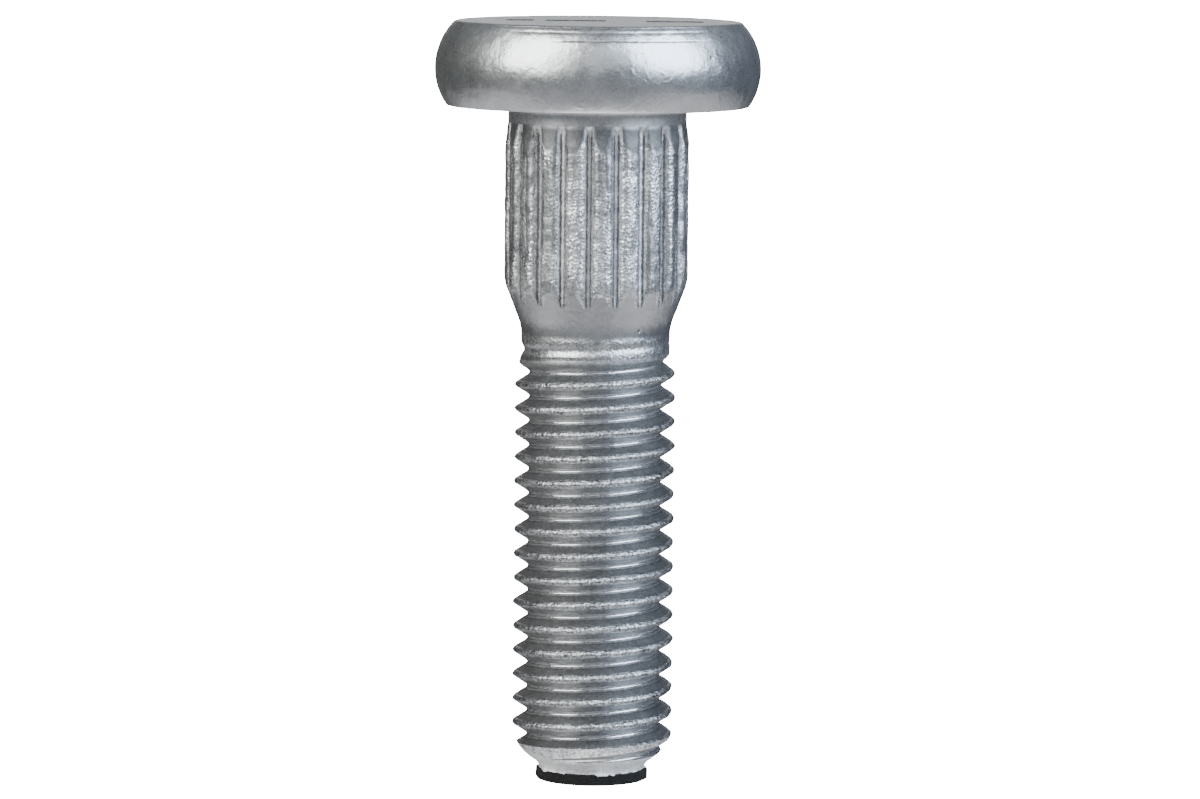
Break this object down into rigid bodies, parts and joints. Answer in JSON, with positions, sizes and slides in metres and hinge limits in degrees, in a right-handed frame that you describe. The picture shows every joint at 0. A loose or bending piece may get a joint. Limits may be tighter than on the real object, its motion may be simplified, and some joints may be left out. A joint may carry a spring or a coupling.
{
  "type": "suspension bolt",
  "caption": "Press-in bolt with a round rounded-edge head, a splined shank, a tapered plain waist and a right-hand metric thread with a chamfered tip.",
  "frame": {"origin": "centre of the flat seat under the head", "axes": "+Z along the bolt's axis towards the head's top, the shank points to -Z, and a groove of the splines faces -Y"},
  "size_m": [0.02, 0.02, 0.0469],
  "materials": {
    "bolt": "silver-grey zinc flake coating, matt and finely grainy"
  },
  "bodies": {
    "root": {"bolt": "bolt"}
  },
  "joints": []
}
